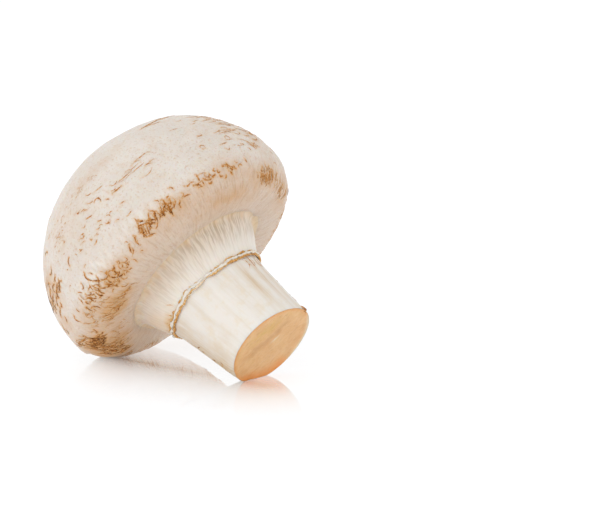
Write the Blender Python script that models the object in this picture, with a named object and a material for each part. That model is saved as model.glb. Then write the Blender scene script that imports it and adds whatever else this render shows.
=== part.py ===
"""A button mushroom lying on its side: one solid of cap, closed veil, ring and cut stem.

The body is turned about its own axis. Stations along that axis are measured in
millimetres from the widest circle of the cap: the crown is on the negative side
and the cut end of the stem on the positive side. At each station a loop of points
goes round the axis, from the side that faces up, through +Y, and back again.

The axis dips towards +X, so that the solid rests on the edge of its cap and on the
lowest edge of its cut stem. Where it rests, the flesh is pressed a little flat.
The origin is on the ground, at the middle of the solid's footprint box.
"""

import math

import bmesh
import bpy
import numpy as np

MM = 0.001

# How the mushroom lies
AXIS_DIP = math.radians(36.2)
PRESSED_DEPTH = 0.45          # how far the resting spots are pressed flat

# Cap, from the crown to the rolled margin and the foot of the veil
CAP_RADIUS = 25.0
CROWN_HEIGHT = 21.7
ROLL_WIDTH = 7.8              # the margin rolls under by this much of the radius
ROLL_DEPTH = 6.6              # and reaches this far past the widest circle
ROLL_FULLNESS = 2.5           # 2 is an ellipse, more is squarer
MARGIN_LIP = (15.0, 6.45)     # radius and station of the margin's inner edge
GROOVE = (13.9, 5.8)          # radius and station of the groove where the veil starts
CAP_LOBES = {2: (0.027, -0.011), 3: (-0.005, -0.004)}
CAP_LEAN = (0.013, 0.010)     # how the cap sits askew on the stem, up and towards +Y

# Veil: a cone of thin skin from the groove down to the ring on the stem
VEIL = [(13.2, 6.7), (12.3, 8.7), (11.25, 10.8), (10.3, 12.3)]

# Ring: the low raised lip that the veil leaves round the stem
RING_LIP = [(10.45, 12.85), (10.2, 13.45), (9.55, 13.75)]
RING_STATION = 13.1
RING_LOBES = {2: (0.020, 0.011)}

# Stem, from below the ring to the slanted cut
STEM_TOP_RADIUS = 9.4
STEM_TOP_STATION = 14.3
CUT_RADIUS = 8.6
CUT_STATION = 27.5
CUT_SLANT = (-0.086, 0.118)   # rise of the cut along the up and +Y directions
CUT_LOBES = {2: (0.002, -0.010), 3: (-0.017, 0.008)}
STEM_OFFSET = (0.75, -2.10)   # where the stem's middle is at the ring, off the cap's axis
CUT_OFFSET = (1.95, -1.94)    # where it is at the cut

# Mesh
POINTS_ROUND = 72
DOME_STEPS = 14
ROLL_STEPS = 10
STEM_STEPS = 6

FLESH_COLOUR = (0.80, 0.72, 0.60, 1.0)
FLESH_ROUGHNESS = 0.55


def ease(start, end, value):
    """Go smoothly from 0 at start to 1 at end."""
    share = np.clip((value - start) / (end - start), 0.0, 1.0)
    return share * share * (3.0 - 2.0 * share)


def dome_stations():
    """Return radius and station from just below the crown to the widest circle."""
    turns = np.linspace(0.0, math.pi / 2, DOME_STEPS + 1)[1:]
    return [(CAP_RADIUS * math.sin(turn), -CROWN_HEIGHT * math.cos(turn)) for turn in turns]


def roll_stations():
    """Return radius and station of the margin as it rolls under, a rounded quarter turn."""
    power = 2.0 / ROLL_FULLNESS
    turns = np.linspace(0.0, math.pi / 2, ROLL_STEPS + 1)[1:]
    radii = CAP_RADIUS - ROLL_WIDTH * (1.0 - np.abs(np.cos(turns)) ** power)
    return list(zip(radii, ROLL_DEPTH * np.sin(turns) ** power))


def stem_stations():
    """Return radius and station of the tapering stem, down to the cut."""
    shares = np.linspace(0.0, 1.0, STEM_STEPS + 1)
    radii = STEM_TOP_RADIUS + (CUT_RADIUS - STEM_TOP_RADIUS) * shares
    stations = STEM_TOP_STATION + (CUT_STATION - STEM_TOP_STATION) * shares
    return list(zip(radii, stations))


def lobes(table, angle):
    """Return how much wider than a circle a section is at an angle round the axis."""
    swell = 0.0
    for count, (along_up, along_side) in table.items():
        swell = swell + along_up * np.cos(count * angle) + along_side * np.sin(count * angle)
    return swell


def share_to_cut(station):
    """Return how far down the stem a station is, from 0 at the ring to 1 at the cut."""
    return np.clip((station - RING_STATION) / (CUT_STATION - RING_STATION), 0.0, 1.0)


def outline_point(radius, station, angle):
    """Return a point of the body: up from the axis, sideways from it, and along it."""
    cap_share = 1.0 - ease(0.6 * GROOVE[1], RING_STATION, station)
    neck_share = ease(GROOVE[1], RING_STATION, station)
    cut_share = share_to_cut(station)
    ring_share = neck_share * (1.0 - cut_share)
    swell = (cap_share * lobes(CAP_LOBES, angle) + ring_share * lobes(RING_LOBES, angle)
             + cut_share * lobes(CUT_LOBES, angle))
    up = radius * (1.0 + swell) * np.cos(angle)
    side = radius * (1.0 + swell) * np.sin(angle)
    slant = cut_share * (CUT_SLANT[0] * up + CUT_SLANT[1] * side)
    lean = cap_share * (CAP_LEAN[0] * up + CAP_LEAN[1] * side)
    up = up + neck_share * STEM_OFFSET[0] + cut_share * (CUT_OFFSET[0] - STEM_OFFSET[0])
    side = side + neck_share * STEM_OFFSET[1] + cut_share * (CUT_OFFSET[1] - STEM_OFFSET[1])
    return np.stack([up, side, station + slant + lean], axis=-1)


def section_loops():
    """Return every loop of points from the crown to the cut, and each loop's station."""
    angles = np.linspace(0.0, 2.0 * math.pi, POINTS_ROUND, endpoint=False)
    cap = dome_stations() + roll_stations() + [MARGIN_LIP, GROOVE]
    stations = cap + VEIL + RING_LIP + stem_stations()
    loops = np.array([outline_point(radius, station, angles) for radius, station in stations])
    return loops, np.array([station for _, station in stations])


def ground_height(loops):
    """Return each point's height when the axis dips as it does."""
    return loops[..., 0] * math.cos(AXIS_DIP) - loops[..., 2] * math.sin(AXIS_DIP)


def press_on_ground(loops, stations):
    """Flatten the resting spots against the ground, keeping the cut face plane."""
    height = ground_height(loops)
    is_stem = stations > RING_STATION
    ground = max(height[is_stem].min(), height[~is_stem].min()) + PRESSED_DEPTH
    slant = (share_to_cut(stations) * CUT_SLANT[0])[:, None]
    lift = np.maximum(ground - height, 0.0) / (math.cos(AXIS_DIP) - slant * math.sin(AXIS_DIP))
    pressed = loops.copy()
    pressed[..., 0] += lift
    pressed[..., 2] += slant * lift
    return pressed, ground


def place(points, ground):
    """Turn points from the axis into the row's frame, in metres, with the ground at zero."""
    up, side, along = points[..., 0], points[..., 1], points[..., 2]
    east = up * math.sin(AXIS_DIP) + along * math.cos(AXIS_DIP)
    height = up * math.cos(AXIS_DIP) - along * math.sin(AXIS_DIP) - ground
    return np.stack([east, side, height], axis=-1) * MM


def centred(placed):
    """Return the shift that puts the middle of the footprint box at the origin."""
    flat = placed.reshape(-1, 3)
    middle = (flat.min(axis=0) + flat.max(axis=0)) / 2.0
    return np.array([middle[0], middle[1], 0.0])


def flesh_material():
    """Return the pale satin skin of the mushroom."""
    material = bpy.data.materials.new("flesh")
    material.use_nodes = True
    shader = material.node_tree.nodes["Principled BSDF"]
    shader.inputs["Base Color"].default_value = FLESH_COLOUR
    shader.inputs["Roughness"].default_value = FLESH_ROUGHNESS
    shader.inputs["Metallic"].default_value = 0.0
    return material


def join_loops(bm, first, second):
    """Lay a band of faces between two loops of vertices."""
    for here in range(POINTS_ROUND):
        after = (here + 1) % POINTS_ROUND
        band = bm.faces.new((first[here], first[after], second[after], second[here]))
        band.smooth = True


def build_mushroom():
    """Make the mushroom's one solid."""
    loops, ground = press_on_ground(*section_loops())
    crown = outline_point(0.0, -CROWN_HEIGHT, 0.0)
    placed = place(loops, ground)
    shift = centred(placed)
    bm = bmesh.new()
    rings = [[bm.verts.new(point) for point in loop - shift] for loop in placed]
    top = bm.verts.new(place(crown, ground) - shift)
    for here in range(POINTS_ROUND):
        wedge = bm.faces.new((top, rings[0][(here + 1) % POINTS_ROUND], rings[0][here]))
        wedge.smooth = True
    for first, second in zip(rings, rings[1:]):
        join_loops(bm, first, second)
    bm.faces.new(rings[-1])
    bmesh.ops.recalc_face_normals(bm, faces=bm.faces)
    mesh = bpy.data.meshes.new("mushroom")
    bm.to_mesh(mesh)
    bm.free()
    mesh.materials.append(flesh_material())
    mushroom = bpy.data.objects.new("mushroom", mesh)
    bpy.context.collection.objects.link(mushroom)
    return mushroom


def main():
    for old in list(bpy.data.objects):
        bpy.data.objects.remove(old)
    build_mushroom()


main()
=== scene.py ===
"""The looks of a button mushroom that lies on its side on a pale, glossy table.

The mushroom is turned about its own axis, as its solid is, and then given its skin:
lumps, pleats and torn edges are modelled into the meshes, and the curled brown scales
and fibres are small flakes of their own that lie on them.
Places on a skin are given as an angle round the axis, in degrees from the side that
faces up towards +Y, and a path in millimetres along its outline. On the cap the path
starts at the crown: 37 is the widest circle and 52 the groove where the veil starts.
"""

import itertools
import math
from collections import namedtuple

import bpy
import numpy as np
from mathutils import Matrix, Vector
from mathutils.kdtree import KDTree

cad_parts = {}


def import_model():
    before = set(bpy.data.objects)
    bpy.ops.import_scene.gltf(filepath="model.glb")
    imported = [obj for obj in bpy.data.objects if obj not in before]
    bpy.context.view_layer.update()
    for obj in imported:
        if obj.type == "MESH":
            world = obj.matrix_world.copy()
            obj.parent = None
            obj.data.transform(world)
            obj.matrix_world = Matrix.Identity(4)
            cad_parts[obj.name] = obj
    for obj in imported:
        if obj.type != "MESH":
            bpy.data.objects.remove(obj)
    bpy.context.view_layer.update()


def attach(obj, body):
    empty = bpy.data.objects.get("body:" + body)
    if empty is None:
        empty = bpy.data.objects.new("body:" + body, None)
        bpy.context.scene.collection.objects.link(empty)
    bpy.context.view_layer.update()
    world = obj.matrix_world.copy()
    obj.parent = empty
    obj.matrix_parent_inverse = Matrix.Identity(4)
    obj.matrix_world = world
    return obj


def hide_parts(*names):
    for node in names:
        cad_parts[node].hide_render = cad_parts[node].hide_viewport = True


MM = 0.001
FULL_TURN = 2.0 * math.pi

# How the mushroom lies
AXIS_DIP = math.radians(36.2)
PRESSED_DEPTH = 0.45

# Outlines, as radius and station along the axis in millimetres
CAP_RADIUS = 25.0
CROWN_HEIGHT = 21.7
ROLL_WIDTH = 7.8
ROLL_DEPTH = 6.6
ROLL_FULLNESS = 2.5
MARGIN_LINE = [(15.9, 6.58), (14.9, 6.36), (14.2, 6.04), (13.75, 5.92), (13.35, 6.15), (13.0, 6.9),
               (12.3, 8.2)]
CAP_INSIDE = [(8.0, 7.6), (4.0, 7.4), (0.0, 7.4)]
VEIL_START = [(0.0, 6.2), (7.0, 6.2)]
VEIL_LINE = [(14.6, 5.6), (15.0, 6.25), (14.3, 6.14), (13.75, 6.22), (13.35, 6.62), (13.05, 7.3), (12.3, 9.0),
             (11.5, 10.6), (10.85, 11.9), (10.5, 12.6), (10.3, 13.0), (9.8, 13.2)]
VEIL_INSIDE = [(7.0, 12.7), (0.0, 12.7)]
STEM_START = [(0.0, 11.8), (6.0, 11.8)]
STEM_LINE = [(9.2, 12.2), (9.75, 12.9), (9.75, 13.8), (9.5, 15.5), (9.2, 19.0), (8.9, 23.5), (8.6, 27.5)]
STEM_INSIDE = [(8.0, 26.6), (0.0, 26.4)]
CUT_START = [(0.0, 26.9), (8.2, 26.9)]
CUT_LINE = [(8.62, 27.5), (8.5, 27.53), (0.0, 27.5)]

# How the sections leave a circle, and how the parts lean and shift
RING_STATION = 13.1
CUT_STATION = 27.5
GROOVE_STATION = 5.8
CAP_LOBES = {2: (0.027, -0.011), 3: (-0.005, -0.004)}
RING_LOBES = {2: (0.020, 0.011)}
CUT_LOBES = {2: (0.002, -0.010), 3: (-0.017, 0.008)}
CAP_LEAN = (0.013, 0.010)
CUT_SLANT = (-0.086, 0.118)
STEM_OFFSET = (0.75, -2.10)
CUT_OFFSET = (1.95, -1.94)

# Mesh fineness, in millimetres
CAP_SPACING = 0.27
VEIL_SPACING = 0.14
STEM_SPACING = 0.18

# Mesh fineness, in steps
OUTLINE_STEPS = 400            # along the dome and along the roll, before they are spaced evenly
FOOTPRINT_STEPS = 720          # round the axis, to find how the body lies
FLAKE_STEPS = 8
FLAKE_STRIPS = 5
NEAR_STEPS = 5                 # points along a flake from which distances are taken
RING_STEPS = 1300
RING_SIDES = 10

# How flakes differ from what their group says
PLACE_SPREAD = 0.6             # a standard deviation, as a share of the group's reach
LENGTH_RANGE = (0.5, 1.35)
WIDTH_RANGE = (0.6, 1.3)
TONE_RANGE = (0.65, 1.15)
CURL_RANGE = (0.4, 1.3)
BEND_PER_SCATTER = 0.08        # radians for each degree, up to the most
MOST_BEND = 0.6
SAME_SIDE = 0.7                # share of the flakes whose free edge is on the same side
CLUSTER_SIZE = 5.0

# The shape of a flake, in millimetres and shares of its length
FLAKE_TIP = 0.04
FLAKE_BLUNTNESS = 0.6
FLAKE_RAGGEDNESS = 0.3
FLAKE_THICKNESS = 0.06
FLAKE_SINK = 0.035
BROAD_WIDTH = (0.35, 0.6)      # over these widths curled flakes turn pale, with a brown free edge
FULL_CURL = 0.15               # from here on a flake counts as curled all the way

# How the flakes work on the skin round them
CAP_HALO = 0.55                # how far they do, in millimetres
HALO = 0.40
GOLDEN_HALO = 0.34
GOLDEN_STAIN = 0.42
SKIN_STAIN = 0.2

# Relief of the cap, in millimetres
SHOULDER_PATH = 39.6
SHOULDER_STEP = 0.26
SHOULDER_RISE = (30.0, 38.0)   # where the step builds up, as paths
UNDERSIDE = (37.0, 43.5)       # where the skin goes over to the fibrous underside, which is also tinted warmer, partly as painted shade
PLEATS_FROM = (47.0, 50.5)
LUMP_HEIGHT = 0.22
PLEAT_HEIGHT = 0.03
BROKEN_HEIGHT = 0.55
DENT_DEPTH = 0.5
DENT = (21, 39.5, 9.0, 3.5)    # angle, path, reach round, reach along; and how badly it is broken:
BROKEN_FLESH = [(270, 39.2, 4.5, 2.4, 1.0), (308, 40.0, 5.0, 1.4, 0.6), (238, 32, 3.0, 5.0, 0.6)]

# Noise
NOISE_CELLS = 256
NOISE_GAIN = 1.6
GRAIN_RADIUS = 0.85            # where grain is true to size, as a share of a skin's widest circle

# Groups of flakes: where they are, how far they spread round and along the outline, how
# many, each one's length and width, its heading in degrees from the outline, the scatter
# of the heading, how brown it is, and how far its free edge curls up
Group = namedtuple("Group", "angle path round along count length width heading scatter tone curl")

CAP_FLAKES = [
    # The shoulder in front: a band of curled scales with dark tips
    (308, 40, 7.0, 1.0, 36, 1.6, 0.32, -28, 6, 0.84, 0.13),
    (300, 40, 4.0, 0.9, 10, 1.3, 0.36, 40, 30, 0.90, 0.10),
    (315, 39, 7.0, 1.6, 16, 1.2, 0.30, 60, 25, 0.58, 0.07),
    # To the right of it: short thick scales, and a crack between
    (342, 40, 4.5, 1.2, 26, 1.0, 0.38, 45, 45, 0.76, 0.12),
    (332, 40, 1.5, 0.3, 5, 1.8, 0.20, 80, 10, 0.80, 0.05),
    # The fibrous patch at the right
    (12, 43, 2.6, 1.2, 70, 1.5, 0.24, 12, 10, 0.62, 0.08),
    (32, 44, 5.0, 1.0, 28, 2.0, 0.20, 30, 12, 0.44, 0.07),
    # Flecks towards the top, which lie round the axis
    (15, 33, 8.0, 4.0, 56, 2.0, 0.19, 82, 8, 0.62, 0.06),
    (5, 37, 4.0, 1.0, 16, 1.2, 0.26, 60, 20, 0.50, 0.06),
    (10, 27, 7.0, 3.0, 36, 2.0, 0.19, 82, 8, 0.60, 0.06),
    (345, 20, 3.0, 1.0, 14, 1.8, 0.23, 80, 12, 0.68, 0.06),
    # Long fine cracks on the dome
    (318, 30, 2.5, 1.6, 13, 3.0, 0.19, 85, 4, 0.48, 0.05),
    (303, 30, 1.0, 0.6, 3, 2.4, 0.26, 75, 5, 0.70, 0.05),
    # Small golden marks on the left
    (290, 28, 4.0, 2.0, 9, 1.6, 0.30, 72, 10, 0.60, 0.06),
    (268, 27, 5.0, 4.0, 40, 0.8, 0.22, 74, 8, 0.36, 0.04),
    (290, 23, 5.0, 1.0, 22, 1.0, 0.20, 78, 14, 0.34, 0.03),
    (280, 34, 8.0, 3.0, 26, 1.1, 0.28, 70, 20, 0.50, 0.06),
    # Broken flesh at the lower left: golden edges and a few dark tips
    (265, 40, 6.0, 2.4, 44, 1.5, 0.34, 20, 50, 0.76, 0.12),
    (272, 41, 5.0, 1.0, 12, 1.3, 0.42, -20, 50, 1.20, 0.10),
    (280, 42, 4.0, 1.2, 44, 0.9, 0.24, 25, 45, 0.58, 0.07),
    (257, 45, 4.0, 1.0, 40, 2.2, 0.22, 42, 10, 0.64, 0.07),
    (250, 42, 5.0, 2.0, 44, 1.2, 0.20, 20, 40, 0.48, 0.06),
    # Branching scales at the left edge
    (245, 31, 4.0, 2.4, 15, 2.0, 0.34, -55, 7, 1.15, 0.10),
    (236, 31, 5.0, 4.0, 24, 1.9, 0.28, -60, 20, 0.95, 0.09),
    # The fibrous patch where the cap rests
    (225, 43, 3.5, 1.4, 90, 1.6, 0.18, 0, 35, 1.10, 0.08),
    (212, 45, 4.0, 1.4, 70, 1.8, 0.17, -50, 18, 0.92, 0.08),
    (225, 40, 3.0, 1.0, 18, 1.8, 0.22, 45, 15, 0.82, 0.09),
    (222, 47, 5.0, 1.2, 34, 2.0, 0.16, -50, 12, 0.50, 0.05),
]
EVEN_CAP_FLAKES = [
    (118, 39.8, 30.0, 1.6, 380, 1.6, 0.26, 10, 40, 0.74, 0.16),   # the rest of the shoulder
    (118, 39.8, 30.0, 1.2, 80, 1.6, 0.60, 40, 60, 0.80, 0.24),
    (118, 29.0, 32.0, 8.0, 140, 1.7, 0.20, 84, 6, 0.56, 0.06),
    (118, 35.0, 30.0, 3.5, 110, 1.3, 0.24, 10, 30, 0.62, 0.10),
    (180, 15.0, 30.0, 9.0, 44, 1.8, 0.18, 85, 5, 0.44, 0.04),
    (118, 44.0, 28.0, 2.4, 200, 1.8, 0.18, 0, 10, 0.48, 0.06),
]
VEIL_FLAKES = [
    (240, 10.0, 4.0, 1.2, 56, 1.4, 0.18, 10, 25, 0.52, 0.06),     # brown fibres on the low side
    (265, 10.8, 5.0, 0.4, 18, 1.0, 0.28, 70, 30, 0.58, 0.12),     # shreds beside the ring
    (305, 10.8, 0.4, 0.3, 4, 0.7, 0.26, 20, 50, 0.50, 0.16),      # the knot where it is torn
    (350, 10.8, 7.0, 0.4, 28, 1.1, 0.28, 70, 25, 0.54, 0.12),
]
EVEN_VEIL_FLAKES = [
    (120, 10.8, 14.0, 0.4, 130, 1.0, 0.22, 60, 40, 0.52, 0.10),
]
STEM_FLAKES = [
    (5, 3.0, 2.5, 0.4, 8, 2.4, 0.15, 5, 5, 0.46, 0.07),           # tails below the ring
    (225, 11.0, 1.0, 4.0, 7, 0.9, 0.32, 50, 40, 0.70, 0.05),      # brown spots low down
    (30, 16.5, 0.5, 0.2, 4, 1.6, 0.24, 10, 20, 0.80, 0.30),       # loose tip at the cut
]
EVEN_STEM_FLAKES = [
    (120, 10.0, 16.0, 6.0, 50, 1.0, 0.20, 10, 30, 0.50, 0.05),
]

# Soft washes of tan: angle, path, reach round, reach along, strength
CAP_WASHES = [
    (315, 41, 9.0, 2.4, 0.46),
    (345, 40, 5.0, 2.4, 0.32),
    (12, 44, 7.0, 3.4, 0.40),
    (350, 45, 11.0, 4.0, 0.50),
    (275, 41, 4.5, 2.2, 0.66),
    (257, 45, 6.0, 3.2, 0.94),
    (248, 41, 6.0, 3.0, 0.42),
    (215, 44, 8.0, 5.0, 1.20),
    (235, 30, 5.0, 6.0, 0.72),
    (228, 36, 5.0, 6.0, 0.55),
    (300, 22, 8.0, 1.5, 0.28),
    (268, 25, 6.0, 5.0, 0.32),
    (22, 34, 6.0, 6.0, 0.35),
    (40, 44, 6.0, 3.0, 0.42),
    (118, 41, 30.0, 4.0, 0.50),
]
FRESH_FLESH = [
    (270, 38, 7.0, 1.8, 0.55),
    (300, 38, 8.0, 1.5, 0.34),
]
VEIL_WASHES = [
    (238, 10, 3.5, 2.2, 0.90),
    (226, 7, 5.0, 4.0, 0.45),
    (262, 10.6, 4.0, 0.9, 0.60),
    (340, 10.6, 6.0, 0.8, 0.60),
    (120, 10.6, 14.0, 1.4, 0.40),
]
STEM_WASHES = [
    (346, 8, 0.9, 6.0, 0.60),
    (5, 7, 0.7, 6.0, 0.54),
    (17, 9, 0.6, 7.0, 0.45),
    (222, 8, 4.0, 6.0, 0.60),
    (222, 13, 4.5, 3.5, 0.95),
    (232, 3, 4.0, 2.5, 0.45),
    (270, 12, 2.0, 2.0, 0.22),
]

# Where the torn ring runs: angle round the axis and station along it
RING_BENDS = [(0, 13.5), (90, 13.0), (150, 13.3), (240, 13.4), (290, 12.8), (325, 13.3)]

# How brown the ring is, at angles round the axis
RING_BROWN = [(0, 1.25), (60, 0.7), (200, 0.8), (245, 1.2), (290, 0.6), (305, 0.45), (345, 1.1)]

# Strands of the ring: radius, shift along the axis, thickness, how uneven that is, how far
# it wanders, and how brown it is on the cap's side and on the stem's side, where the brown is
# partly stain and partly painted shadow under the torn edge
Strand = namedtuple("Strand", "radius shift thickness patchy wander brown_in brown_out")
RING_STRANDS = [
    Strand(10.46, -0.10, 0.24, 1.4, 0.09, 0.00, 0.08),     # the pale crest
    Strand(10.26, 0.20, 0.26, 1.0, 0.08, 0.17, 0.42),      # the golden fold below it, its tan partly stain and partly painted shadow under the crest
    Strand(10.24, -0.50, 0.14, 3.2, 0.24, 0.29, 0.38),     # golden shreds above it
]
RING_TEAR = math.radians(308.0)
TEAR_WIDTH = 0.08              # in radians
TEAR_DEPTH = 0.75              # share of a strand's thickness that is gone there
LEAST_THICKNESS = 0.02
RING_TAPER = 0.25              # how much the ring narrows for each millimetre along the axis
RING_FLATNESS = 0.8

# Marks on the cut face: places and reaches along its grain and across it, in millimetres
CUT_GRAIN_ANGLE = math.radians(38.0)
SLIT = (1.2, -0.4)
SLIT_REACH = (0.9, 0.22)
SLIT_DEPTH = 0.16
BAND_ACROSS = -2.1
BAND_WIDTH = 0.95
BAND_ENDS = (3.0, 7.0)
BAND_DEPTH = 0.05
YELLOW = (0.5, -5.0)
YELLOW_REACH = (4.5, 1.5)
RIM_WIDTH = 0.55

# Colours of marks, from faint to strong
BROWN_STOPS = [(0.05, "E4C69C"), (0.22, "CE9A5E"), (0.44, "B27230"), (0.68, "7E4412"), (0.95, "421E03")]
GOLDEN_STOPS = [(0.05, "EED2A2"), (0.25, "DAA55E"), (0.50, "BE823A"), (0.95, "7E4D1E")]

# How flesh lets light in: how far red, green and blue get, and what share of the skin does it
LIGHT_REACH = (1.0, 0.6, 0.35)
SKIN_SOFTNESS = 0.35
STEM_SOFTNESS = 0.12

# Camera and stage
CAMERA_DISTANCE = 0.70
CAMERA_AZIMUTH = math.radians(37.6)
CAMERA_ELEVATION = math.radians(13.04)
VIEW_WIDTH = 0.11127          # how much the camera sees across at the mushroom, in metres
AIM_RIGHT = 0.0241            # the camera looks this far to the right of the cap's middle
AIM_DOWN = 0.0017
SENSOR_WIDTH = 36.0
CAMERA_CLIP = (0.01, 20.0)
KEY_DIRECTION = (-0.7, 0.9, 0.7)   # to the camera's right, back to the camera, and up
KEY_DISTANCE = 1.3
KEY_SIZE = 1.0
KEY_POWER = 3.1
KEY_COLOUR = (1.0, 0.985, 0.96)
WHITE = (1.0, 1.0, 1.0, 1.0)
SKY_FADE_FROM = 0.3            # how high the sky starts to dim, where 1 is overhead
SKY_OVERHEAD = 0.86
FLOOR_HALF_WIDTH = 4.0
FLOOR_GAP = 0.00002
FLOOR_COLOUR = (0.36, 0.37, 0.39, 1.0)
FLOOR_GLOW = 0.70
POLISH_ROUGHNESS = 0.03
POLISH_START = (-15.0, -4.0)   # the line along which the floor is polished, in millimetres
POLISH_END = (21.0, -4.0)
POLISH_STRENGTH = (0.9, 0.7)   # at the start and the end of the line
POLISH_HALVING = (3.8, 6.4)    # how far from the line the polish has fallen to a half, at both


# ---- numbers ----

def ease(start, end, value):
    """Go smoothly from 0 at start to 1 at end."""
    share = np.clip((value - start) / (end - start), 0.0, 1.0)
    return share * share * (3.0 - 2.0 * share)


def noise(points, size, seed):
    """Return smooth noise between about -1 and 1, with bumps about size across."""
    rng = np.random.default_rng(seed)
    slopes = rng.normal(size=(NOISE_CELLS, 3))
    slopes /= np.linalg.norm(slopes, axis=1)[:, None]
    order = rng.permutation(NOISE_CELLS)
    scaled = points / size
    cell = np.floor(scaled).astype(int)
    inside = scaled - cell
    fade = inside ** 3 * (inside * (inside * 6.0 - 15.0) + 10.0)
    total = np.zeros(len(points))
    for corner in itertools.product((0, 1), repeat=3):
        at = cell + corner
        pick = order[at[:, 0] % NOISE_CELLS]
        pick = order[(pick + at[:, 1]) % NOISE_CELLS]
        pick = order[(pick + at[:, 2]) % NOISE_CELLS]
        weight = np.prod(np.where(corner, fade, 1.0 - fade), axis=1)
        total += weight * np.sum(slopes[pick] * (inside - corner), axis=1)
    return total * NOISE_GAIN


def layered(points, size, seed, layers=3):
    """Add up noise of halving sizes."""
    total = np.zeros(len(points))
    for layer in range(layers):
        total += noise(points, size * 0.5 ** layer, seed + layer) * 0.5 ** layer
    return total


def bell(value, reach, middle=0.0):
    """Fall softly from 1 at the middle towards 0 beyond the reach."""
    return np.exp(-((value - middle) / reach) ** 2)


def lobes(table, angle):
    """Return how much wider than a circle a section is at an angle round the axis."""
    swell = 0.0
    for count, (along_up, along_side) in table.items():
        swell = swell + along_up * np.cos(count * angle) + along_side * np.sin(count * angle)
    return swell


def blend(first, second, share):
    """Mix two arrays of numbers or vectors."""
    if first.ndim > share.ndim:
        share = share[..., None]
    return first * (1.0 - share) + second * share


# ---- outlines ----

def curve_through(points, step=0.05):
    """Return a smooth line through a few points, finely stepped."""
    known = np.array(points, float)
    known = np.vstack([2 * known[0] - known[1], known, 2 * known[-1] - known[-2]])
    line = []
    for before, here, after, beyond in zip(known, known[1:], known[2:], known[3:]):
        shares = np.arange(0.0, 1.0, step / max(np.linalg.norm(after - here), step))[:, None]
        line.append(0.5 * (2 * here + (after - before) * shares
                           + (2 * before - 5 * here + 4 * after - beyond) * shares ** 2
                           + (3 * here - before - 3 * after + beyond) * shares ** 3))
    return np.vstack(line + [known[-2:-1]])


def path_along(line):
    """Return how far each point of a line is along it."""
    return np.concatenate([[0.0], np.cumsum(np.linalg.norm(np.diff(line, axis=0), axis=1))])


def evenly(line, spacing):
    """Space the points of a line evenly."""
    path = path_along(line)
    places = np.linspace(0.0, path[-1], int(round(path[-1] / spacing)) + 1)
    return np.stack([np.interp(places, path, line[:, 0]), np.interp(places, path, line[:, 1])], axis=1)


def cap_outline():
    """Return the cap's seen outline, from the crown into the groove."""
    turns = np.linspace(0.0, math.pi / 2, OUTLINE_STEPS)
    dome = np.stack([CAP_RADIUS * np.sin(turns), -CROWN_HEIGHT * np.cos(turns)], axis=1)
    power = 2.0 / ROLL_FULLNESS
    radii = CAP_RADIUS - ROLL_WIDTH * (1.0 - np.abs(np.cos(turns)) ** power)
    roll = np.stack([radii, ROLL_DEPTH * np.sin(turns) ** power], axis=1)
    margin = curve_through([tuple(roll[-1])] + MARGIN_LINE)
    return evenly(np.vstack([dome, roll[1:], margin[1:]]), CAP_SPACING)


# ---- turned skins ----

def share_to_cut(station):
    """Return how far down the stem a station is, from 0 at the ring to 1 at the cut."""
    return np.clip((station - RING_STATION) / (CUT_STATION - RING_STATION), 0.0, 1.0)


def turned_point(radius, station, angle):
    """Return a point of the body: up from the axis, sideways from it, and along it."""
    cap_share = 1.0 - ease(0.6 * GROOVE_STATION, RING_STATION, station)
    neck_share = ease(GROOVE_STATION, RING_STATION, station)
    cut_share = share_to_cut(station)
    swell = (cap_share * lobes(CAP_LOBES, angle)
             + neck_share * (1.0 - cut_share) * lobes(RING_LOBES, angle)
             + cut_share * lobes(CUT_LOBES, angle))
    up = radius * (1.0 + swell) * np.cos(angle)
    side = radius * (1.0 + swell) * np.sin(angle)
    slant = cut_share * (CUT_SLANT[0] * up + CUT_SLANT[1] * side)
    lean = cap_share * (CAP_LEAN[0] * up + CAP_LEAN[1] * side)
    up = up + neck_share * STEM_OFFSET[0] + cut_share * (CUT_OFFSET[0] - STEM_OFFSET[0])
    side = side + neck_share * STEM_OFFSET[1] + cut_share * (CUT_OFFSET[1] - STEM_OFFSET[1])
    return np.stack([up, side, station + slant + lean], axis=-1)


def normals_of(points, faces):
    """Return each point's outward normal."""
    corners = points[faces]
    across = np.cross(corners[:, 1] - corners[:, 0], corners[:, 2] - corners[:, 0])
    total = np.zeros_like(points)
    for corner in range(3):
        np.add.at(total, faces[:, corner], across)
    return total / np.maximum(np.linalg.norm(total, axis=1), 1e-12)[:, None]


def outward(points, faces):
    """Return the faces wound so that they face out."""
    corners = points[faces]
    volume = np.sum(corners[:, 0] * np.cross(corners[:, 1], corners[:, 2]))
    return faces if volume > 0 else faces[:, ::-1]


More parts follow.
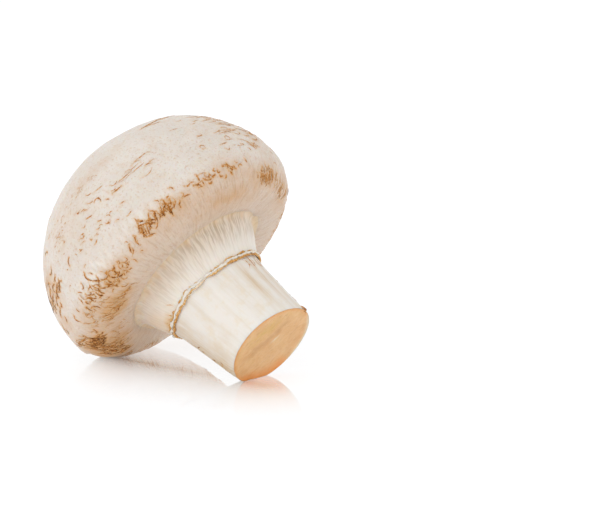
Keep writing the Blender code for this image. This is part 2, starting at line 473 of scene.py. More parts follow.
class Skin:
    """An outline turned about the axis in rings of evenly spaced points."""

    def __init__(self, before, seen, after, spacing):
        line = np.vstack([part for part in (before, seen, after) if len(part)])
        self.line_path = path_along(line) - path_along(line)[len(before)]
        self.seen_end = self.line_path[len(before) + len(seen) - 1]
        self.line = line
        counts = np.maximum(np.round(FULL_TURN * line[:, 0] / spacing), 3).astype(int)
        self.counts = np.where(line[:, 0] > 0.0, counts, 1)
        self.first = np.concatenate([[0], np.cumsum(self.counts)])
        ring = np.repeat(np.arange(len(line)), self.counts)
        self.angle = np.concatenate([np.arange(count) * FULL_TURN / count for count in self.counts])
        self.radius, self.station = line[ring, 0], line[ring, 1]
        self.path = self.line_path[ring]
        faces = np.vstack([self.band(row) for row in range(len(line) - 1)])
        self.points = turned_point(self.radius, self.station, self.angle)
        self.faces = outward(self.points, faces)
        self.normals = normals_of(self.points, self.faces)

    def band(self, row):
        """Return the triangles between a ring of points and the next."""
        here, after = self.counts[row], self.counts[row + 1]
        turns = np.concatenate([(np.arange(here) + 0.5) / here, (np.arange(after) + 0.5) / after])
        on_next = np.repeat([False, True], [here, after])[np.argsort(turns, kind="stable")]
        low = np.cumsum(~on_next) - ~on_next
        high = np.cumsum(on_next) - on_next
        corner = self.first[row] + low % here
        far_corner = self.first[row + 1] + high % after
        next_corner = self.first[row] + (low + 1) % here
        next_far_corner = self.first[row + 1] + (high + 1) % after
        third = np.where(on_next, next_far_corner, next_corner)
        triangles = np.stack([corner, third, far_corner], axis=1)
        thin = (corner == third) | (third == far_corner)
        return triangles[~thin]

    def shown(self, depth=0.6):
        """Return 1 on the seen part, falling to 0 on what is hidden inside."""
        return ease(-depth, 0.0, self.path) * (1.0 - ease(self.seen_end, self.seen_end + depth, self.path))

    def lift(self, heights):
        """Move the points out along their normals."""
        self.points = self.points + self.normals * heights[:, None]
        self.normals = normals_of(self.points, self.faces)

    def around(self, values, row, angle):
        """Read values at an angle on a ring."""
        turn = (angle / FULL_TURN % 1.0) * self.counts[row]
        here = turn.astype(int) % self.counts[row]
        after = (here + 1) % self.counts[row]
        return blend(values[self.first[row] + here], values[self.first[row] + after], turn % 1.0)

    def read(self, values, angle, path):
        """Read values at places on the skin."""
        row = np.interp(path, self.line_path, np.arange(len(self.line_path)))
        low = np.minimum(row.astype(int), len(self.counts) - 2)
        return blend(self.around(values, low, angle), self.around(values, low + 1, angle), row - low)

    def grain(self, stretch):
        """Return coordinates in which noise is drawn out along the outline."""
        radius = GRAIN_RADIUS * self.line[:, 0].max()
        up, side = radius * np.cos(self.angle), radius * np.sin(self.angle)
        return np.stack([up, side, self.path / stretch], axis=1)

    def wash(self, patches):
        """Return how strongly soft patches tint the skin."""
        total = np.zeros(len(self.angle))
        for degrees, path, reach_round, reach_along, strength in patches:
            turn = (self.angle - math.radians(degrees) + math.pi) % FULL_TURN - math.pi
            away = (turn * self.radius / reach_round) ** 2 + ((self.path - path) / reach_along) ** 2
            total = np.maximum(total, strength * np.exp(-away))
        return total

    def spot(self, degrees, path, reach_round, reach_along):
        """Return a soft spot of strength 1 at a place."""
        return self.wash([(degrees, path, reach_round, reach_along, 1.0)])


# ---- flakes ----

# Flakes on a skin, an array of each: radius is the skin's there, and flip is 1 or -1 for the
# side on which the free edge is
Flakes = namedtuple("Flakes", "angle path radius length width heading bend tone curl flip")


def flakes_on(skin, groups, even_groups, seed):
    """Return a skin's flakes: first those of the placed groups, then those of the even ones."""
    rows = [scatter(skin, groups, seed), scatter(skin, even_groups, seed + 1, even=True)]
    return Flakes(*np.vstack(rows).T)


def scatter(skin, groups, seed, even=False):
    """Return the flakes of some groups, a row of numbers each; even groups gather in clusters."""
    rng = np.random.default_rng(seed)
    rows = []
    for group in itertools.starmap(Group, groups):
        count = group.count
        if even:
            spread_along, spread_round = rng.uniform(-1, 1, (2, count))
        else:
            spread_along, spread_round = PLACE_SPREAD * rng.normal(size=(2, count))
        path = np.clip(group.path + group.along * spread_along, 1.0, skin.seen_end - 0.3)
        radius = np.interp(path, skin.line_path, skin.line[:, 0])
        middle_radius = np.interp(group.path, skin.line_path, skin.line[:, 0])
        angle = math.radians(group.angle) + group.round * spread_round / middle_radius
        length = group.length * rng.uniform(*LENGTH_RANGE, count)
        width = group.width * rng.uniform(*WIDTH_RANGE, count)
        heading = np.radians(group.heading + rng.normal(size=count) * group.scatter)
        bend = rng.normal(size=count) * min(MOST_BEND, BEND_PER_SCATTER * group.scatter)
        tone = group.tone * rng.uniform(*TONE_RANGE, count)
        curl = group.curl * rng.uniform(*CURL_RANGE, count)
        flip = np.where(rng.uniform(size=count) < SAME_SIDE, 1.0, -1.0)
        row = np.stack([angle, path, radius, length, width, heading, bend, tone, curl, flip], axis=1)
        places = np.stack([radius * np.cos(angle), radius * np.sin(angle), path], axis=1)
        rows.append(row[noise(places, CLUSTER_SIZE, seed) > 0.0] if even else row)
    return np.vstack(rows)


def flake_places(flakes, steps, strips):
    """Return where points of each flake lie: angle, path, step share and strip share."""
    each = Flakes(*np.array(flakes)[:, :, None, None])
    step = np.linspace(0.0, 1.0, steps)[None, :, None]
    strip = np.linspace(0.0, 1.0, strips)[None, None, :]
    ragged = 1.0 + FLAKE_RAGGEDNESS * np.sin(step * 17.0 + each.path * 40.0)
    taper = np.sin(math.pi * np.clip(step, FLAKE_TIP, 1.0 - FLAKE_TIP)) ** FLAKE_BLUNTNESS
    turned = each.heading + each.bend * (step - 0.5) * 1.6
    forward = each.length * (step - 0.5)
    sideways = each.width * each.flip * taper * ragged * (strip - 0.5)
    path = each.path + forward * np.cos(turned) - sideways * np.sin(turned)
    angle = each.angle + (forward * np.sin(turned) + sideways * np.cos(turned)) / each.radius
    return np.broadcast_arrays(angle, path, step, strip)


def near_flakes(skin, flakes):
    """Return each skin point's distance to the nearest flake, and those flakes."""
    angle, path, _, _ = flake_places(flakes, NEAR_STEPS, 3)
    middles = skin.read(skin.points, angle[:, :, 1], path[:, :, 1]).reshape(-1, 3)
    tree = KDTree(len(middles))
    for index, point in enumerate(middles):
        tree.insert(point, index)
    tree.balance()
    found = [tree.find(point) for point in skin.points]
    owner = np.array([index for _, index, _ in found]) // NEAR_STEPS
    return np.array([distance for _, _, distance in found]), Flakes(*np.array(flakes)[:, owner])


def flake_stain(flakes, step, strip):
    """Return how brown flakes are: more towards one end, and at the free edge of curled ones."""
    tone = flakes.tone[:, None, None]
    curled = np.clip(flakes.curl / FULL_CURL, 0.0, 1.0)[:, None, None] * np.ones_like(strip)
    narrow = tone * (0.45 + 0.70 * step ** 1.5) * blend(np.ones_like(strip), 0.4 + 0.6 * strip, curled)
    broad = tone * (0.05 + 0.95 * strip ** 5)
    return blend(narrow, broad, ease(*BROAD_WIDTH, flakes.width[:, None, None]) * curled)


def flake_mesh(skin, flakes, values):
    """Return the points, faces, flat map and values of flakes that lie on a skin."""
    angle, path, step, strip = flake_places(flakes, FLAKE_STEPS, FLAKE_STRIPS)
    swell = FLAKE_THICKNESS * (1.0 - np.abs(2.0 * strip - 1.0) ** 3) - FLAKE_SINK
    raised = swell + flakes.curl[:, None, None] * strip ** 2 * np.sin(math.pi * step) ** 0.7
    points = skin.read(skin.points, angle, path) + skin.read(skin.normals, angle, path) * raised[..., None]
    index = np.arange(len(flakes.angle))
    corner = (index[:, None, None] * FLAKE_STEPS * FLAKE_STRIPS
              + np.arange(FLAKE_STEPS - 1)[None, :, None] * FLAKE_STRIPS
              + np.arange(FLAKE_STRIPS - 1)[None, None, :]).ravel()
    faces = np.stack([corner, corner + 1, corner + FLAKE_STRIPS + 1, corner + FLAKE_STRIPS], axis=1)
    cells = math.ceil(math.sqrt(len(index)))
    cell = np.stack([index % cells, index // cells], axis=1)[:, None, None]
    flat = (cell + 0.1 + 0.8 * np.stack([step, strip], axis=-1)) / cells
    on_flakes = {"stain": flake_stain(flakes, step, strip).ravel()}
    for key, value in values.items():
        on_flakes[key] = skin.read(value, angle, path).reshape((-1,) + value.shape[1:])
    return points.reshape(-1, 3), faces, on_flakes, flat.reshape(-1, 2)[faces].reshape(-1, 2)


# ---- placing and meshes ----

def height_of(points):
    """Return the height of points when the axis dips as it does."""
    return points[..., 0] * math.cos(AXIS_DIP) - points[..., 2] * math.sin(AXIS_DIP)


class Placing:
    """Where the turned body lies: the height of the ground and the middle of its footprint."""

    def __init__(self, cap, stem):
        body = np.vstack([cap, stem])
        east = body[:, 0] * math.sin(AXIS_DIP) + body[:, 2] * math.cos(AXIS_DIP)
        self.ground = max(height_of(cap).min(), height_of(stem).min()) + PRESSED_DEPTH
        self.middle_east = (east.min() + east.max()) / 2.0
        self.middle_side = (body[:, 1].min() + body[:, 1].max()) / 2.0

    def place(self, points):
        """Turn points about the axis into metres, pressed flat where they meet the ground."""
        up = points[:, 0] + np.maximum(self.ground - height_of(points), 0.0) / math.cos(AXIS_DIP)
        east = up * math.sin(AXIS_DIP) + points[:, 2] * math.cos(AXIS_DIP) - self.middle_east
        height = up * math.cos(AXIS_DIP) - points[:, 2] * math.sin(AXIS_DIP) - self.ground
        return np.stack([east, points[:, 1] - self.middle_side, height], axis=1) * MM


def make_object(name, points, faces, values, flat, material):
    """Make a smooth mesh object with its attributes and its flat map."""
    mesh = bpy.data.meshes.new(name)
    mesh.from_pydata(points.tolist(), [], faces.tolist())
    mesh.update()
    for key, value in values.items():
        kind, field = ("FLOAT_VECTOR", "vector") if value.ndim == 2 else ("FLOAT", "value")
        mesh.attributes.new(key, kind, "POINT").data.foreach_set(field, value.astype(np.float32).ravel())
    mesh.uv_layers.new(name="OFBake").data.foreach_set("uv", flat.astype(np.float32).ravel())
    mesh.shade_smooth()
    mesh.materials.append(material)
    piece = bpy.data.objects.new(name, mesh)
    bpy.context.collection.objects.link(piece)
    return piece


def make_pair(placing, names, skin, flakes, values, stain, flat, materials):
    """Make a skin and the flakes on it, which share its tints."""
    bare = make_object(names[0], placing.place(skin.points), skin.faces, {**values, "stain": stain},
                       flat, materials[0])
    points, faces, values, flat = flake_mesh(skin, flakes, values)
    return [bare, make_object(names[1], placing.place(points), faces, values, flat, materials[1])]


def disc_map(skin):
    """Lay a skin out flat as a disc round its start."""
    path = skin.path - skin.line_path[0]
    reach = 0.49 * path / path.max()
    flat = np.stack([0.5 + reach * np.cos(skin.angle), 0.5 + reach * np.sin(skin.angle)], axis=1)
    return flat[skin.faces].reshape(-1, 2)


def strip_map(skin):
    """Lay a skin out flat as a strip, cut where the angle starts."""
    turn = (skin.angle / FULL_TURN)[skin.faces]
    turn = np.where(turn.max(axis=1, keepdims=True) - turn > 0.5, turn + 1.0, turn)
    path = skin.path - skin.line_path[0]
    rise = (path / path.max())[skin.faces]
    return np.stack([0.005 + 0.98 * turn, 0.01 + 0.98 * rise], axis=-1).reshape(-1, 2)


# ---- materials ----

def colour(text):
    """Return a linear colour for a web colour."""
    channels = [int(text[place:place + 2], 16) / 255.0 for place in (0, 2, 4)]
    return tuple(c / 12.92 if c < 0.04045 else ((c + 0.055) / 1.055) ** 2.4 for c in channels) + (1.0,)


class Recipe:
    """A node material with a Principled shader, built up step by step."""

    def __init__(self, name):
        self.material = bpy.data.materials.new(name)
        self.material.use_nodes = True
        self.tree = self.material.node_tree
        self.shader = self.tree.nodes["Principled BSDF"]

    def feed(self, socket, value):
        """Set a socket to a number or colour, or link a socket to it."""
        if isinstance(value, bpy.types.NodeSocket):
            self.tree.links.new(value, socket)
        else:
            socket.default_value = value

    def node(self, kind, output=0, inputs=None, **settings):
        """Add a node with its properties and inputs, and return one of its outputs."""
        node = self.tree.nodes.new(kind)
        for key, value in settings.items():
            setattr(node, key, value)
        for key, value in (inputs or {}).items():
            self.feed(node.inputs[key], value)
        return node.outputs[output]

    def attribute(self, name, output="Fac"):
        """Read a mesh attribute."""
        return self.node("ShaderNodeAttribute", output, attribute_name=name)

    def scaled(self, vector, scale):
        """Return a vector made longer by a factor."""
        return self.node("ShaderNodeVectorMath", 0, {0: vector, "Scale": scale}, operation="SCALE")

    def where(self):
        """Return the object coordinates in millimetres."""
        return self.scaled(self.node("ShaderNodeTexCoord", "Object"), 1.0 / MM)

    def noise(self, vector, scale, detail=2.0, roughness=0.5):
        """Return noise between 0 and 1, with scale bumps a millimetre."""
        inputs = {"Vector": vector, "Scale": scale, "Detail": detail, "Roughness": roughness}
        return self.node("ShaderNodeTexNoise", "Fac", inputs)

    def math(self, operation, first, second, clamp=False):
        """Return a result of two sockets or numbers."""
        return self.node("ShaderNodeMath", 0, {0: first, 1: second}, operation=operation, use_clamp=clamp)

    def between(self, share, ends):
        """Return a number that goes evenly from one end to the other."""
        return self.math("ADD", self.math("MULTIPLY", share, ends[1] - ends[0]), ends[0])

    def clamped(self, value):
        """Return a value held between 0 and 1."""
        return self.math("MULTIPLY", value, 1.0, True)

    def vector_math(self, operation, first, second, output="Vector"):
        """Return a result of two vectors."""
        return self.node("ShaderNodeVectorMath", output, {0: first, 1: second}, operation=operation)

    def spread(self, value, low, high, to_low=0.0, to_high=1.0):
        """Return a value eased from one range to another."""
        inputs = {"From Min": low, "From Max": high, "To Min": to_low, "To Max": to_high, "Value": value}
        return self.node("ShaderNodeMapRange", "Result", inputs, interpolation_type="SMOOTHSTEP")

    def mix(self, factor, first, second):
        """Return a mix of two colours."""
        return self.node("ShaderNodeMix", 2, {"Factor": factor, 6: first, 7: second}, data_type="RGBA")

    def dab(self, shade, pattern, low, high, most, text):
        """Lay a web colour over a shade where a pattern is strong."""
        return self.mix(self.spread(pattern, low, high, 0.0, most), shade, colour(text))

    def ramp(self, value, stops):
        """Return a colour that runs through stops of position and web colour."""
        shade = self.node("ShaderNodeValToRGB", "Color", {"Fac": value})
        steps = shade.node.color_ramp.elements
        while len(steps) < len(stops):
            steps.new(0.5)
        for step, (position, text) in zip(steps, stops):
            step.position = position
            step.color = colour(text)
        return shade

    def stains(self, base, scale, stops):
        """Lay ragged marks over a colour where the stain is strong."""
        ragged = self.spread(self.noise(self.where(), scale, 3.0, 0.6), 0.3, 0.7, 0.55, 1.35)
        level = self.math("MULTIPLY", self.attribute("stain"), ragged)
        shade = self.ramp(level, stops)
        return self.mix(self.spread(level, 0.03, 0.32, 0.0, 0.98), base, shade)

    def bump(self, height, depth):
        """Give the shader a bump of a depth in millimetres."""
        inputs = {"Height": height, "Strength": 1.0, "Distance": depth * MM}
        self.feed(self.shader.inputs["Normal"], self.node("ShaderNodeBump", "Normal", inputs))

    def flesh(self, shade, roughness, soft, radius, gloss=0.3):
        """Set the colour and what all flesh shares: satin, and letting some light in."""
        looks = {"Base Color": shade, "Roughness": roughness, "Specular IOR Level": gloss,
                 "Subsurface Weight": soft, "Subsurface Radius": LIGHT_REACH, "Subsurface Scale": radius * MM}
        for key, value in looks.items():
            self.feed(self.shader.inputs[key], value)
        return self.material


def cap_material(name, soft):
    """Cream skin with warm drifts, fine fibres, tan washes and brown marks."""
    recipe = Recipe(name)
    where = recipe.where()
    drift = recipe.noise(where, 0.09, 3.0)
    shade = recipe.dab(colour("DAD1C7"), drift, 0.35, 0.65, 1.0, "DFD8D0")
    shade = recipe.dab(shade, recipe.noise(where, 0.8, 4.0, 0.6), 0.45, 0.75, 0.45, "D2BDA6")
    fine = recipe.noise(where, 2.4, 4.0, 0.65)
    shade = recipe.dab(shade, fine, 0.53, 0.69, 0.62, "C7A888")
    fibre = recipe.noise(recipe.attribute("grain", "Vector"), 2.8)
    fray = recipe.attribute("fray")
    shade = recipe.mix(recipe.clamped(recipe.attribute("tint")), shade, colour("CDA276"))
    lines = recipe.math("MULTIPLY", recipe.spread(fibre, 0.46, 0.72, 0.0, 0.38), fray)
    shade = recipe.mix(lines, shade, colour("B0845A"))
    shade = recipe.mix(recipe.attribute("fresh"), shade, colour("F0ECE6"))
    pores = recipe.math("MULTIPLY", fine, -0.5)
    recipe.bump(recipe.math("ADD", pores, recipe.math("MULTIPLY", fibre, fray)), 0.23)
    return recipe.flesh(recipe.stains(shade, 2.6, BROWN_STOPS), 0.5, soft, 1.6, 0.3 if soft else 0.1)


def veil_material(name, soft):
    """White fibrous skin, streaked with grey where it starts, partly fibres and partly painted shade in the
    pleat folds, and tan at its torn end.
    """
    recipe = Recipe(name)
    grain = recipe.attribute("grain", "Vector")
    fibre = recipe.noise(grain, 2.8)
    shade = recipe.dab(colour("E8E1D7"), fibre, 0.42, 0.7, 0.4, "D6CCBF")
    # grey-brown streaks: partly fibres, partly painted shade in the pleat folds
    streak = recipe.spread(recipe.noise(grain, 2.8, 3.0, 0.6), 0.42, 0.62)
    streak = recipe.math("MULTIPLY", streak, recipe.attribute("fray"))
    shade = recipe.mix(streak, shade, colour("A89882"))
    shade = recipe.mix(recipe.clamped(recipe.attribute("tint")), shade, colour("DCB27C"))
    recipe.bump(fibre, 0.12)
    return recipe.flesh(recipe.stains(shade, 2.6, GOLDEN_STOPS), 0.55, soft, 1.4)


def stem_material(name, soft):
    """Cream stem with faint streaks along it and a few brown spots."""
    recipe = Recipe(name)
    grain = recipe.attribute("grain", "Vector")
    streaks = recipe.noise(grain, 0.9, 4.0, 0.6)
    shade = recipe.dab(colour("E6E1DA"), streaks, 0.42, 0.72, 0.6, "DACFBE")
    shade = recipe.dab(shade, recipe.noise(recipe.where(), 0.5, 4.0, 0.6), 0.45, 0.72, 0.45, "DFCFB4")
    fine_streaks = recipe.spread(recipe.noise(grain, 2.2, 3.0, 0.6), 0.35, 0.6, 0.40, 1.0)
    wash = recipe.math("MULTIPLY", recipe.attribute("tint"), fine_streaks, True)
    shade = recipe.mix(wash, shade, colour("C5A473"))
    fine = recipe.math("MULTIPLY", recipe.noise(recipe.where(), 2.5, 4.0, 0.6), 0.5)
    recipe.bump(recipe.math("ADD", fine, streaks), 0.12)
    return recipe.flesh(recipe.stains(shade, 2.4, BROWN_STOPS), 0.5, soft, 1.6)


def cut_material():
    """Cut flesh gone tan: a darker band beside its middle, yellow blotches, an orange rim."""
    recipe = Recipe("cut_flesh")
    where = recipe.where()
    shade = recipe.dab(colour("EABC87"), recipe.noise(where, 0.3, 4.0, 0.6), 0.35, 0.68, 1.0, "E2AE77")
    shade = recipe.mix(recipe.attribute("core"), shade, colour("CB9460"))
    shade = recipe.mix(recipe.attribute("yellow"), shade, colour("DCB264"))
    speckle = recipe.noise(recipe.attribute("grain", "Vector"), 1.8, 5.0, 0.72)
    shade = recipe.dab(shade, speckle, 0.48, 0.72, 0.55, "C98F58")
    shade = recipe.dab(shade, recipe.noise(where, 1.6, 4.0, 0.7), 0.55, 0.75, 0.45, "F0CDA2")
    shade = recipe.mix(recipe.attribute("rim"), shade, colour("EC9440"))
    shade = recipe.mix(recipe.attribute("pale"), shade, colour("EEDCC2"))
    recipe.bump(speckle, 0.2)
    return recipe.flesh(shade, 0.4, 0.3, 1.6)


def floor_material():
    """White board, polished along the line where the mushroom rests and matt further away."""
    recipe = Recipe("white_board")
    looks = {"Specular IOR Level": 0.0, "Base Color": FLOOR_COLOUR, "Emission Color": WHITE,
             "Emission Strength": FLOOR_GLOW}
    for key, value in looks.items():
        recipe.feed(recipe.shader.inputs[key], value)
    mirror = recipe.node("ShaderNodeBsdfGlossy", 0, {"Color": WHITE, "Roughness": POLISH_ROUGHNESS})
    layers = {"Fac": floor_polish(recipe), 1: recipe.shader.outputs["BSDF"], 2: mirror}
    surface = recipe.tree.nodes["Material Output"].inputs["Surface"]
    recipe.feed(surface, recipe.node("ShaderNodeMixShader", 0, layers))
    return recipe.material


def floor_polish(recipe):
    """Return how polished the floor is: most along a line, and halving again and again away from it."""
    start, end = Vector((*POLISH_START, 0.0)), Vector((*POLISH_END, 0.0))
    along = end - start
    away = recipe.vector_math("SUBTRACT", recipe.where(), start)
    share = recipe.vector_math("DOT_PRODUCT", away, along / along.length_squared, "Value")
    share = recipe.clamped(share)
    distance = recipe.vector_math("DISTANCE", away, recipe.scaled(along, share), "Value")
    halvings = recipe.math("DIVIDE", distance, recipe.between(share, POLISH_HALVING))
    polish = recipe.math("POWER", 0.5, halvings)
    return recipe.math("MULTIPLY", polish, recipe.between(share, POLISH_STRENGTH))


# ---- pieces ----

def cap_heights(skin, lifted, under):
    """Return the relief of the cap: lumps, shoulder step, lifted skin at flakes, pleats, broken flesh."""
    path, spots = skin.path, skin.points
    edge = SHOULDER_PATH + 0.9 * noise(spots, 6.0, 41) + 0.5 * noise(spots, 1.6, 43)
    step = SHOULDER_STEP * (1.0 - ease(edge - 0.5, edge + 0.5, path)) * ease(*SHOULDER_RISE, path)
    heights = (layered(spots, 11.0, 21) * LUMP_HEIGHT + step * (0.7 + 0.6 * noise(spots, 5.0, 45))
               + lifted + noise(skin.grain(6.0), 0.8, 31) * 0.04 * under
               + noise(skin.grain(6.0), 0.9, 33) * PLEAT_HEIGHT * ease(*PLEATS_FROM, path)
               + noise(spots, 2.6, 49) * 0.04 + noise(spots, 0.8, 51) * 0.022
               - DENT_DEPTH * skin.spot(*DENT))
    broken = sum(badly * skin.spot(*place) for *place, badly in BROKEN_FLESH)
    crumbs = BROKEN_HEIGHT * (0.35 - np.abs(noise(spots, 1.7, 53))) + noise(spots, 0.7, 55) * 0.12
    return heights + broken * crumbs


def build_cap(placing):
    """The cap and the curled scales on it."""
    skin = Skin([], cap_outline(), CAP_INSIDE, CAP_SPACING)
    flakes = flakes_on(skin, CAP_FLAKES, EVEN_CAP_FLAKES, 11)
    distance, near = near_flakes(skin, flakes)
    halo = bell(distance, CAP_HALO)
    under = ease(*UNDERSIDE, skin.path) * skin.shown()
    spots = skin.points
    skin.lift(cap_heights(skin, halo * near.curl * 0.35, under) * skin.shown())
    washes = skin.wash(CAP_WASHES)
    # 0.34 of tan over the whole underside: partly its tan fibres, partly painted warm shade under the cap
    tint = washes * (0.75 + 0.5 * layered(spots, 3.0, 61)) + 0.34 * under + halo * near.tone * 0.20
    fresh = skin.wash(FRESH_FLESH) * np.clip(0.45 + 1.3 * noise(skin.grain(2.5), 0.6, 57), 0.0, 1.0)
    values = {"tint": np.clip(tint, 0.0, 1.0), "fray": 0.8 * under + 0.02 + 0.4 * washes,
              "fresh": fresh, "grain": skin.grain(7.0)}
    golden = bell(distance, GOLDEN_HALO) * np.clip(near.tone - 0.1, 0.0, 1.0) * (near.width < BROAD_WIDTH[1])
    materials = cap_material("cap_skin", SKIN_SOFTNESS), cap_material("scale_skin", 0.0)
    return make_pair(placing, ("cap", "cap_scales"), skin, flakes, values, golden * GOLDEN_STAIN,
                     disc_map(skin), materials)


def build_veil(placing):
    """The veil, a pleated cone that merges into the cap's margin, and its fibres."""
    seen = evenly(curve_through(VEIL_LINE), VEIL_SPACING)
    skin = Skin(VEIL_START, seen, VEIL_INSIDE, VEIL_SPACING)
    flakes = flakes_on(skin, VEIL_FLAKES, EVEN_VEIL_FLAKES, 13)
    distance, near = near_flakes(skin, flakes)
    halo = bell(distance, HALO)
    path = skin.path
    start = ease(0.2, 0.9, path) * (1.0 - ease(2.4, 3.6, path))
    folds = ease(0.5, 2.0, path) * (1.0 - 0.8 * ease(4.5, 9.0, path))
    heights = (noise(skin.grain(7.0), 0.8, 33) * (0.045 * start + 0.022 * folds)
               + noise(skin.grain(20.0), 2.4, 77) * 0.08 * folds
               + noise(skin.grain(6.0), 0.5, 79) * 0.02 + halo * near.curl * 0.3
               + noise(skin.points, 5.0, 78) * 0.12)
    skin.lift(heights * skin.shown(0.3))
    around = skin.grain(1e6)
    jagged = path + 1.3 * noise(around, 4.0, 91) + 1.0 * noise(around, 1.1, 92)
    fade = 1.0 - ease(3.0, 8.5, jagged)
    merging = 0.44 * (1.0 - ease(1.2, 3.6, jagged)) + 0.20 * fade
    # fray places the grey streaks near the margin, strongest round 350 degrees: partly fibres, partly painted
    # fold shade
    values = {"tint": np.maximum(skin.wash(VEIL_WASHES), merging) + halo * near.tone * 0.25,
              "grain": skin.grain(9.0), "fray": (0.16 + 0.46 * skin.spot(350, 3.0, 11.0, 30.0)) * fade}
    materials = veil_material("veil_skin", SKIN_SOFTNESS), veil_material("fibre_skin", 0.0)
    return make_pair(placing, ("veil", "veil_fibres"), skin, flakes, values, halo * near.tone * SKIN_STAIN,
                     strip_map(skin), materials)


def ring_station(turns):
    """Return the station of the torn ring at angles round the axis."""
    bends = np.array(RING_BENDS, float)
    return np.interp(np.degrees(turns), bends[:, 0], bends[:, 1], period=360.0)


def strand_tube(strand, seed):
    """Return the points of one strand, as a closed tube round the stem, and its brownness, which on the
    stem's side is partly painted shadow.
    """
    turns = np.linspace(0.0, FULL_TURN, RING_STEPS, endpoint=False)
    circle = np.stack([np.cos(turns), np.sin(turns), 0.0 * turns], axis=1) * strand.radius
    weave = noise(circle, 1.8, 71) * 0.24 + noise(circle, 0.7, 72) * 0.13
    station = ring_station(turns) + strand.shift + weave + noise(circle, 2.0, seed) * strand.wander
    radius = strand.radius + noise(circle, 1.8, seed + 1) * 0.14 - RING_TAPER * (station - RING_STATION)
    uneven = 0.6 * noise(circle, 1.5, seed + 2) + 0.4 * noise(circle, 0.5, seed + 3)
    torn = bell((turns - RING_TEAR + math.pi) % FULL_TURN - math.pi, TEAR_WIDTH)
    swell = strand.thickness * (1.0 + strand.patchy * uneven) * (1.0 - TEAR_DEPTH * torn)
    swell = np.maximum(swell, LEAST_THICKNESS)[:, None]
    around = np.linspace(0.0, FULL_TURN, RING_SIDES, endpoint=False)
    radii = radius[:, None] + swell * np.sin(around) * RING_FLATNESS
    points = turned_point(radii, station[:, None] + swell * np.cos(around), turns[:, None])
    # browner towards the stem: partly stain, partly painted shadow under the torn edge
    brown = blend(np.array(strand.brown_in), np.array(strand.brown_out), ease(-0.5, 0.6, np.cos(around)))
    places = np.array(RING_BROWN, float)
    share = np.interp(np.degrees(turns), places[:, 0], places[:, 1], period=360.0)
    share = share * (1.0 + 0.4 * noise(circle, 2.0, seed + 4))
    return points.reshape(-1, 3), (brown * share[:, None]).ravel()


def tube_quads(steps, sides):
    """Return the faces of a closed tube and where their corners are on its flat map."""
    step, side = np.meshgrid(np.arange(steps), np.arange(sides), indexing="ij")
    corners = [(0, 0), (0, 1), (1, 1), (1, 0)]
    faces = [(step + ahead) % steps * sides + (side + over) % sides for ahead, over in corners]
    flat = [np.stack([(step + ahead) / steps, (side + over) / sides], axis=-1) for ahead, over in corners]
    return np.stack(faces, axis=-1).reshape(-1, 4), np.stack(flat, axis=2).reshape(-1, 4, 2)


def build_ring(placing):
    """The torn ring round the stem, as strands that run along and over one another."""
    points, stains, faces, flats = [], [], [], []
    quads, flat = tube_quads(RING_STEPS, RING_SIDES)
    for index, strand in enumerate(RING_STRANDS):
        tube, brown = strand_tube(strand, 101 + 10 * index)
        faces.append(quads + index * len(tube))
        points.append(tube)
        stains.append(brown)
        flats.append((flat * (0.98, 0.94) + (0.01, index + 0.03)) / (1.0, len(RING_STRANDS)))
    points, stain = np.vstack(points), np.concatenate(stains)
    values = {"stain": stain, "tint": 0.6 * stain, "fray": np.zeros(len(points)), "grain": points}
    return [make_object("ring", placing.place(points), np.vstack(faces), values,
                        np.vstack(flats).reshape(-1, 2), veil_material("ring_skin", 0.2))]


def build_stem(placing):
    """The stem, faintly ridged, with its few marks."""
    seen = evenly(curve_through(STEM_LINE), STEM_SPACING)
    skin = Skin(STEM_START, seen, STEM_INSIDE, STEM_SPACING)
    flakes = flakes_on(skin, STEM_FLAKES, EVEN_STEM_FLAKES, 15)
    distance, near = near_flakes(skin, flakes)
    halo = bell(distance, HALO)
    heights = (noise(skin.grain(16.0), 1.6, 81) * 0.09 + noise(skin.grain(20.0), 4.5, 83) * 0.20
               + noise(skin.points, 2.2, 84) * 0.04 + halo * near.curl * 0.2)
    near_cut = 1.0 - 0.8 * ease(skin.seen_end - 1.2, skin.seen_end, skin.path)
    skin.lift(heights * skin.shown(0.3) * near_cut)
    values = {"tint": skin.wash(STEM_WASHES) + halo * near.tone * 0.15, "grain": skin.grain(16.0)}
    materials = stem_material("stem_skin", STEM_SOFTNESS), stem_material("speck_skin", 0.0)
    return make_pair(placing, ("stem", "stem_specks"), skin, flakes, values, halo * near.tone * SKIN_STAIN,
                     strip_map(skin), materials)


def cut_tints(skin, along, across, slit, band):
    """Return the tints of the cut face; its rim is wider below and pale at the right."""
    blotchy = np.clip(0.6 + 0.8 * noise(skin.points, 1.1, 88), 0.0, 1.0)
    yellow = bell(along, YELLOW_REACH[0], YELLOW[0]) * bell(across, YELLOW_REACH[1], YELLOW[1])
    degrees = np.degrees(skin.angle)
    low_side = ease(100.0, 130.0, degrees) * (1.0 - ease(185.0, 215.0, degrees))
    right_side = ease(35.0, 60.0, degrees) * (1.0 - ease(105.0, 135.0, degrees))
    from_rim = np.maximum(skin.path, 0.0)
    rim = bell(from_rim, RIM_WIDTH + 1.7 * low_side) * (0.55 + 0.45 * low_side) * (1.0 - right_side)
    pale = 0.9 * slit + 0.85 * right_side * bell(from_rim, RIM_WIDTH)
    return {"core": 0.75 * band, "yellow": 0.8 * yellow * blotchy, "rim": rim,
            "pale": np.clip(pale, 0.0, 1.0), "grain": np.stack([across, along * 0.45, 0.0 * along], axis=1)}


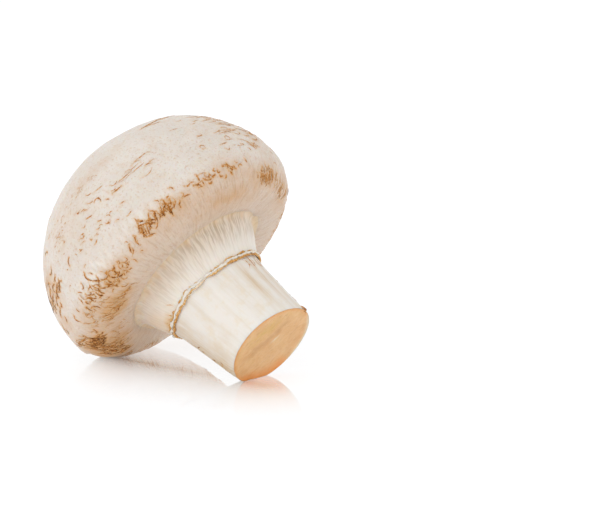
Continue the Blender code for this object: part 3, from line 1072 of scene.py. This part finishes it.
def build_cut(placing):
    """The cut face: nearly flat, with a slit in its middle and a darker band beside it."""
    skin = Skin(CUT_START, evenly(np.array(CUT_LINE), STEM_SPACING), [], STEM_SPACING)
    reach, turn = skin.seen_end - skin.path, skin.angle - CUT_GRAIN_ANGLE
    along, across = reach * np.cos(turn), reach * np.sin(turn)
    slit = bell(along, SLIT_REACH[0], SLIT[0]) * bell(across, SLIT_REACH[1], SLIT[1])
    band = bell(across + 0.5 * noise(skin.points, 3.0, 87), BAND_WIDTH, BAND_ACROSS)
    band *= 1.0 - ease(*BAND_ENDS, np.abs(along))
    band *= np.clip(0.75 + 0.6 * noise(skin.points, 1.3, 89), 0.2, 1.0)
    values = cut_tints(skin, along, across, slit, band)
    uneven = layered(skin.points, 2.6, 85) * 0.09 + noise(skin.points, 0.5, 86) * 0.015
    skin.lift((uneven - SLIT_DEPTH * slit - BAND_DEPTH * band) * ease(0.05, 0.8, skin.path))
    points = placing.place(skin.points)
    return [make_object("cut_face", points, skin.faces, values, disc_map(skin), cut_material())]


# ---- stage ----

def build_floor():
    """A pale glossy board under the mushroom."""
    mesh = bpy.data.meshes.new("floor")
    half = FLOOR_HALF_WIDTH
    corners = [(-half, -half, 0.0), (half, -half, 0.0), (half, half, 0.0), (-half, half, 0.0)]
    mesh.from_pydata(corners, [], [(0, 1, 2, 3)])
    mesh.materials.append(floor_material())
    floor = bpy.data.objects.new("floor", mesh)
    floor.location.z = -FLOOR_GAP
    bpy.context.collection.objects.link(floor)


def camera_axes():
    """Return the camera's right, up and backward directions."""
    back = Vector((math.sin(CAMERA_AZIMUTH) * math.cos(CAMERA_ELEVATION),
                   -math.cos(CAMERA_AZIMUTH) * math.cos(CAMERA_ELEVATION), math.sin(CAMERA_ELEVATION)))
    right = Vector((math.cos(CAMERA_AZIMUTH), math.sin(CAMERA_AZIMUTH), 0.0))
    return right, back.cross(right), back


def add_camera(cap_middle):
    """Look at the mushroom from in front of its cut stem, a little from above."""
    right, up, back = camera_axes()
    data = bpy.data.cameras.new("camera")
    data.sensor_width = SENSOR_WIDTH
    data.lens = SENSOR_WIDTH * CAMERA_DISTANCE / VIEW_WIDTH
    data.clip_start, data.clip_end = CAMERA_CLIP
    camera = bpy.data.objects.new("camera", data)
    camera.location = cap_middle + back * CAMERA_DISTANCE
    target = cap_middle + right * AIM_RIGHT - up * AIM_DOWN
    camera.rotation_euler = (camera.location - target).to_track_quat("Z", "Y").to_euler()
    bpy.context.collection.objects.link(camera)
    bpy.context.scene.camera = camera


def add_key_light():
    """Add a soft square light at the upper left, in front of the mushroom."""
    right, _, back = camera_axes()
    rightwards, backwards, upwards = KEY_DIRECTION
    towards = (right * rightwards + back * backwards + Vector((0.0, 0.0, upwards))).normalized()
    data = bpy.data.lights.new("key", "AREA")
    data.size = KEY_SIZE
    data.energy = KEY_POWER
    data.color = KEY_COLOUR
    light = bpy.data.objects.new("key", data)
    light.location = towards * KEY_DISTANCE
    light.rotation_euler = towards.to_track_quat("Z", "Y").to_euler()
    light.visible_camera = False
    bpy.context.collection.objects.link(light)


def add_sky():
    """Surround the scene with white light that is a little dimmer overhead."""
    world = bpy.data.worlds.new("studio")
    world.use_nodes = True
    nodes, links = world.node_tree.nodes, world.node_tree.links
    split = nodes.new("ShaderNodeSeparateXYZ")
    links.new(nodes.new("ShaderNodeTexCoord").outputs["Generated"], split.inputs[0])
    fade = nodes.new("ShaderNodeMapRange")
    fade.inputs["From Min"].default_value = SKY_FADE_FROM
    fade.inputs["To Min"].default_value = 1.0
    fade.inputs["To Max"].default_value = SKY_OVERHEAD
    links.new(split.outputs["Z"], fade.inputs["Value"])
    links.new(fade.outputs["Result"], nodes["Background"].inputs["Strength"])
    nodes["Background"].inputs["Color"].default_value = WHITE
    bpy.context.scene.world = world


def placing_of_body():
    """Work out how the plain turned body lies, as its solid does."""
    turns = np.linspace(0.0, FULL_TURN, FOOTPRINT_STEPS, endpoint=False)
    cap = cap_outline()[:, :, None]
    stem = curve_through(STEM_LINE)[:, :, None]
    return Placing(turned_point(cap[:, 0], cap[:, 1], turns).reshape(-1, 3),
                   turned_point(stem[:, 0], stem[:, 1], turns).reshape(-1, 3))


def main():
    """Build the mushroom in its frame, then the stage round it."""
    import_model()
    bpy.context.scene.view_settings.view_transform = "Standard"
    placing = placing_of_body()
    for build in (build_cap, build_veil, build_ring, build_stem, build_cut):
        for piece in build(placing):
            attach(piece, "root")
            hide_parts("mushroom")
    build_floor()
    add_camera(Vector(placing.place(np.zeros((1, 3)))[0]))
    add_key_light()
    add_sky()


main()
